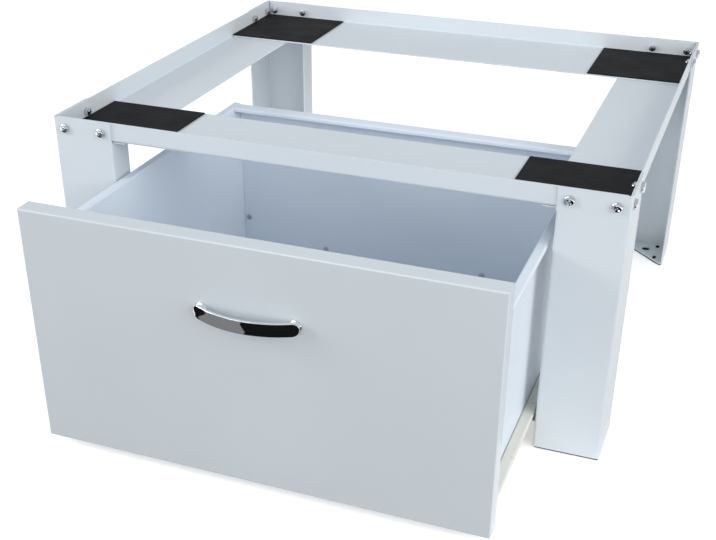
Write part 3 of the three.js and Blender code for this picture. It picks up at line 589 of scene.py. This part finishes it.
def roller_mesh(radius, width):
    half = width / 2
    rim_inner = radius - ROLLER_RIM
    web = half - ROLLER_RECESS
    flank = [
        (ROLLER_BORE, half),
        (ROLLER_HUB, half),
        *arc_points((ROLLER_HUB + FILLET, web + FILLET_RISE), FILLET, 180, 225, 3),
        (ROLLER_HUB + FILLET_REACH, web),
        (rim_inner - FILLET_REACH, web),
        *arc_points((rim_inner - FILLET, web + FILLET_RISE), FILLET, 315, 360, 3),
        (rim_inner, half),
        *arc_points((radius - ROLLER_EDGE, half - ROLLER_EDGE), ROLLER_EDGE, 90, 0, 6),
    ]
    outline = [*flank, *[(r, -z) for r, z in reversed(flank)], flank[0]]
    return mesh_from(lambda bm: add_lathe(bm, outline, ROLLER_STEPS), "roller")


def make_rollers():
    low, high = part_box("roller_frame_left")
    mesh = roller_mesh((high.z - low.z) / 2, high.x - low.x)
    for member in ("frame", "drawer"):
        for side, sign_x in SIDES:
            node = f"roller_{member}_{side}"
            place = looking(middle(node), (sign_x, 0, 0))
            add_piece(f"{node}_wheel", mesh, place, node, "roller_nylon", node)


make_rollers()

# ---- handle: a flat bow with round ends and soft edges, on two posts ---------------------------

BOW_THICKNESS = 3.6 * MM
BOW_SAG = 15.5 * MM  # the bow's middle stands this far ahead of its tips
BOW_EDGE = 0.7 * MM
BOW_CROWN = 0.25 * MM  # the face is this much higher along its middle
POST_PITCH = 96 * MM
POST_RADIUS = 5 * MM
POST_FOOT_RADIUS = 6.2 * MM
POST_FOOT_HEIGHT = 1.6 * MM
POST_FOOT_EDGE = 0.4 * MM
POST_NECK = 0.6 * MM  # the post is straight from this far above its foot
POST_FLARE = 1.0 * MM  # round by which the post widens under the bow
POST_FLARE_DROP = 0.2 * MM
POST_SINK = 0.5 * MM  # the post's end lies this far inside the bow
BOW_COLUMNS = 96
BOW_END_ROWS = 20
FACE_ROWS = (1, 0.6, 0.2, -0.2, -0.6, -1)  # places across the face, as shares of its half height
EDGE_ROWS = 6
NO_LENGTH = 1e-9


def bow_outline(half_length, half_height):
    """Points (s, h) of the upper half of a bar with round ends."""
    straight = half_length - half_height
    stations = [-half_length + half_height * (1 - math.cos(math.pi / 2 * i / BOW_END_ROWS))
                for i in range(BOW_END_ROWS)]
    stations += [-straight + 2 * straight * i / BOW_COLUMNS for i in range(BOW_COLUMNS + 1)]
    stations += [-s for s in reversed(stations[:BOW_END_ROWS])]
    for s in stations:
        over = max(0.0, abs(s) - straight)
        yield s, math.sqrt(max(0.0, half_height ** 2 - over ** 2))


def handle_mesh():
    low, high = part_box("handle")
    front_y, back_y = low.y, high.y
    half_chord, half_height = (high.x - low.x) / 2, (high.z - low.z) / 2
    centre_z = (low.z + high.z) / 2
    radius = (half_chord ** 2 + BOW_SAG ** 2) / (2 * BOW_SAG)
    half_length = radius * math.asin(half_chord / radius)
    outline = list(bow_outline(half_length - BOW_EDGE, half_height - BOW_EDGE))

    def bent(s, h, depth):
        """A point of the bow: s along it, h up, and depth behind its front face."""
        angle = s / radius
        reach = radius - depth
        y = front_y + radius - reach * math.cos(angle)
        return Vector((reach * math.sin(angle), y, centre_z + h))

    def skin(bm, face_depth, edge_way):
        """The front or the back face, crowned along its middle."""
        columns = []
        for s, half in outline:
            heights = [half * share for share in FACE_ROWS]
            drops = [BOW_CROWN * (h / half_height) ** 2 for h in heights]
            columns.append([bent(s, h, face_depth + edge_way * d) for h, d in zip(heights, drops)])
        made = [[bm.verts.new(p) for p in column] for column in columns]
        for left, right in zip(made, made[1:]):
            for k in range(len(left) - 1):
                bm.faces.new((left[k], left[k + 1], right[k + 1], right[k]))

    def edge(bm):
        """The rounded edge all round the bow, from its front face to its back."""
        loop = outline + [(s, -h) for s, h in reversed(outline[1:-1])]
        straight = half_length - half_height
        last_row = 2 * EDGE_ROWS + 1
        rings = []
        for row in range(last_row + 1):
            if row <= EDGE_ROWS:
                turn = math.pi / 2 * row / EDGE_ROWS
                out = math.sin(turn)
                deep = (1 - math.cos(turn)) * BOW_EDGE
            else:
                turn = math.pi / 2 * (row - EDGE_ROWS - 1) / EDGE_ROWS
                out = math.cos(turn)
                deep = BOW_THICKNESS - (1 - math.sin(turn)) * BOW_EDGE
            ring = []
            for s, h in loop:
                over = max(0.0, abs(s) - straight) * (1 if s > 0 else -1)
                way = Vector((over, h))
                way = way.normalized() if way.length > NO_LENGTH else Vector((0, 0))
                drop = BOW_CROWN * (h / half_height) ** 2 * (1 - row / last_row * 2)
                ring.append(bent(s + way.x * out * BOW_EDGE, h + way.y * out * BOW_EDGE, deep + drop))
            rings.append(ring)
        add_ring_wall(bm, rings)

    def post(bm, x):
        back = front_y + radius - math.sqrt((radius - BOW_THICKNESS) ** 2 - x ** 2)
        length = back_y - back
        flare_z = length - POST_FLARE_DROP
        neck = (POST_FOOT_RADIUS, POST_FOOT_HEIGHT + POST_NECK)
        profile = [
            (0, 0),
            *arc_points((POST_FOOT_RADIUS - POST_FOOT_EDGE, POST_FOOT_EDGE), POST_FOOT_EDGE, -90, 0, 4),
            *arc_points(neck, POST_FOOT_RADIUS - POST_RADIUS, 240, 180, 6),
            (POST_RADIUS, flare_z - POST_FLARE),
            *arc_points((POST_RADIUS + POST_FLARE, flare_z), POST_FLARE, 180, 120, 5),
            (0, length + POST_SINK),
        ]
        place = looking((x, back_y, centre_z), (0, -1, 0))
        rings = [[place @ p for p in circle(r, z, ROUND_STEPS)] for r, z in profile]
        add_ring_wall(bm, rings)

    def build(bm):
        skin(bm, 0, 1)
        skin(bm, BOW_THICKNESS, -1)
        edge(bm)
        for sign in (-1, 1):
            post(bm, sign * POST_PITCH / 2)

    return mesh_from(build, "handle")


add_piece("bow_handle", handle_mesh(), Matrix.Identity(4), "drawer", "handle_chrome", "handle")

# ---- floor, backdrop and light ---------------------------------------------------------------

FLOOR_HALF = 14
FLOOR_SHADE = 0.93
FLOOR_GLOW = 0.33  # of the floor that is seen
UNDER_GLOW = 0.12  # of the white part of the floor that lights the part
UNDER_GREY = 0.2  # shade of its grey part
UNDER_EDGE_X = 0.33  # the grey part lies to the right of this
UNDER_EDGE_Y = -0.36  # and in front of this
UNDER_Z = -0.001
DOME_RADIUS = FLOOR_HALF - 0.1
DOME_GLOW = 0.97
WORLD_COLOR = (0.955, 1.0, 1.055)
WORLD_GLOW = 0.63

# Two low cards in front of the drawer, by their corners. Only reflections show them.
DARK_CARD = ((-0.75, -0.37), (0.75, -0.37), (0.75, -1.6), (-0.75, -1.6))
DARK_CARD_Z = 0.003
DARK_CARD_COLOR = (0.008, 0.008, 0.009)
GREY_CARD = ((0.072, -0.400), (-0.402, -1.130), (-0.626, -1.000), (-0.361, -0.380))
GREY_CARD_Z = 0.004
GREY_CARD_COLOR = (0.21, 0.21, 0.205)

LIGHTS_AIM = (0, 0, 0.2)
STRIP_AIM = (0, -0.3, 0.2)
RIGHT_COLOR = (1.0, 0.985, 0.955)


def rectangle(x0, x1, y0, y1):
    return (x0, y0), (x1, y0), (x1, y1), (x0, y1)


def stage_plane(name, corners, z, material):
    mesh = bpy.data.meshes.new(name)
    mesh.from_pydata([(x, y, 0) for x, y in corners], [], [(0, 1, 2, 3)])
    mesh.materials.append(material)
    plane = bpy.data.objects.new(name, mesh)
    plane.location = (0, 0, z)
    bpy.context.scene.collection.objects.link(plane)
    return plane


def glow(surface, strength):
    surface.set("Emission Color", (1, 1, 1, 1))
    surface.set("Emission Strength", strength)


def floor_material(name, shade, strength):
    surface = Surface(name, (shade, shade, shade), roughness=0.9, Specular_IOR_Level=0.1)
    surface.vary_color(surface.noise(scale=1.5, detail=2), amount=0.004)
    glow(surface, strength)
    return surface.material


def make_floor():
    """The white floor that is seen, and under it the floor whose bounce lights the part.

    The second one is grey in front and on the right, where the photo's part gets less light from below.
    """
    far = FLOOR_HALF
    white = floor_material("floor", FLOOR_SHADE, FLOOR_GLOW)
    seen = stage_plane("floor", rectangle(-far, far, -far, far), 0, white)
    seen.visible_diffuse = False
    seen.visible_shadow = False
    light = floor_material("light_floor", FLOOR_SHADE, UNDER_GLOW)
    grey = floor_material("grey_floor", UNDER_GREY, 0)
    for name, corners, material in (
        ("under_back", rectangle(-far, UNDER_EDGE_X, UNDER_EDGE_Y, far), light),
        ("under_right", rectangle(UNDER_EDGE_X, far, UNDER_EDGE_Y, far), grey),
        ("under_front", rectangle(-far, far, -far, UNDER_EDGE_Y), grey),
    ):
        under = stage_plane(name, corners, UNDER_Z, material)
        under.visible_camera = False
        under.visible_glossy = False


def make_backdrop():
    """A white dome that closes the view above the floor. Only the camera sees it."""
    surface = Surface("backdrop", (0, 0, 0), roughness=1.0, Specular_IOR_Level=0.0)
    surface.vary_roughness(surface.noise(scale=1, detail=2), low=0.9, high=1)
    glow(surface, DOME_GLOW)

    def build(bm):
        bmesh.ops.create_uvsphere(bm, u_segments=64, v_segments=32, radius=DOME_RADIUS)

    dome = bpy.data.objects.new("backdrop", mesh_from(build, "backdrop"))
    dome.data.materials.append(surface.material)
    bpy.context.scene.collection.objects.link(dome)
    dome.visible_diffuse = False
    dome.visible_glossy = False
    dome.visible_transmission = False
    dome.visible_shadow = False


def reflected_card(name, corners, z, color):
    """A low card that only reflections show: the dark surroundings that the chrome mirrors."""
    surface = Surface(name, color, roughness=1.0, Specular_IOR_Level=0.0)
    card = stage_plane(name, corners, z, surface.material)
    card.visible_camera = False
    card.visible_diffuse = False
    card.visible_shadow = False
    card.visible_transmission = False


def area_light(name, at, size, power, towards=LIGHTS_AIM):
    """A rectangular light of a size in metres and a power in watts."""
    data = bpy.data.lights.new(name, "AREA")
    data.shape = "RECTANGLE"
    data.size, data.size_y = size
    data.energy = power
    light = bpy.data.objects.new(name, data)
    light.location = at
    light.rotation_euler = (Vector(towards) - Vector(at)).to_track_quat("-Z", "Y").to_euler()
    bpy.context.scene.collection.objects.link(light)
    return light


def make_world():
    world = bpy.data.worlds.new("studio")
    world.use_nodes = True
    background = world.node_tree.nodes["Background"]
    background.inputs["Color"].default_value = (*WORLD_COLOR, 1)
    background.inputs["Strength"].default_value = WORLD_GLOW
    bpy.context.scene.world = world


def make_lights():
    """Three soft lights, and a strip that only adds its reflection to the paint and the chrome."""
    front = area_light("front", at=(0.2, -3.0, 1.0), size=(2.6, 1.6), power=18)
    right = area_light("right", at=(2.6, -1.3, 1.3), size=(2.8, 2.0), power=55)
    area_light("left", at=(-2.6, -1.3, 1.3), size=(1.2, 1.0), power=32)
    strip = area_light("strip", at=(-1.4, -2.0, 2.3), size=(2.2, 0.7), power=18, towards=STRIP_AIM)
    right.data.color = RIGHT_COLOR
    front.visible_glossy = False
    right.visible_glossy = False
    strip.visible_diffuse = False


make_floor()
make_backdrop()
make_world()
reflected_card("dark_table", DARK_CARD, DARK_CARD_Z, DARK_CARD_COLOR)
reflected_card("grey_table", GREY_CARD, GREY_CARD_Z, GREY_CARD_COLOR)
make_lights()
bpy.context.scene.view_settings.view_transform = "Standard"
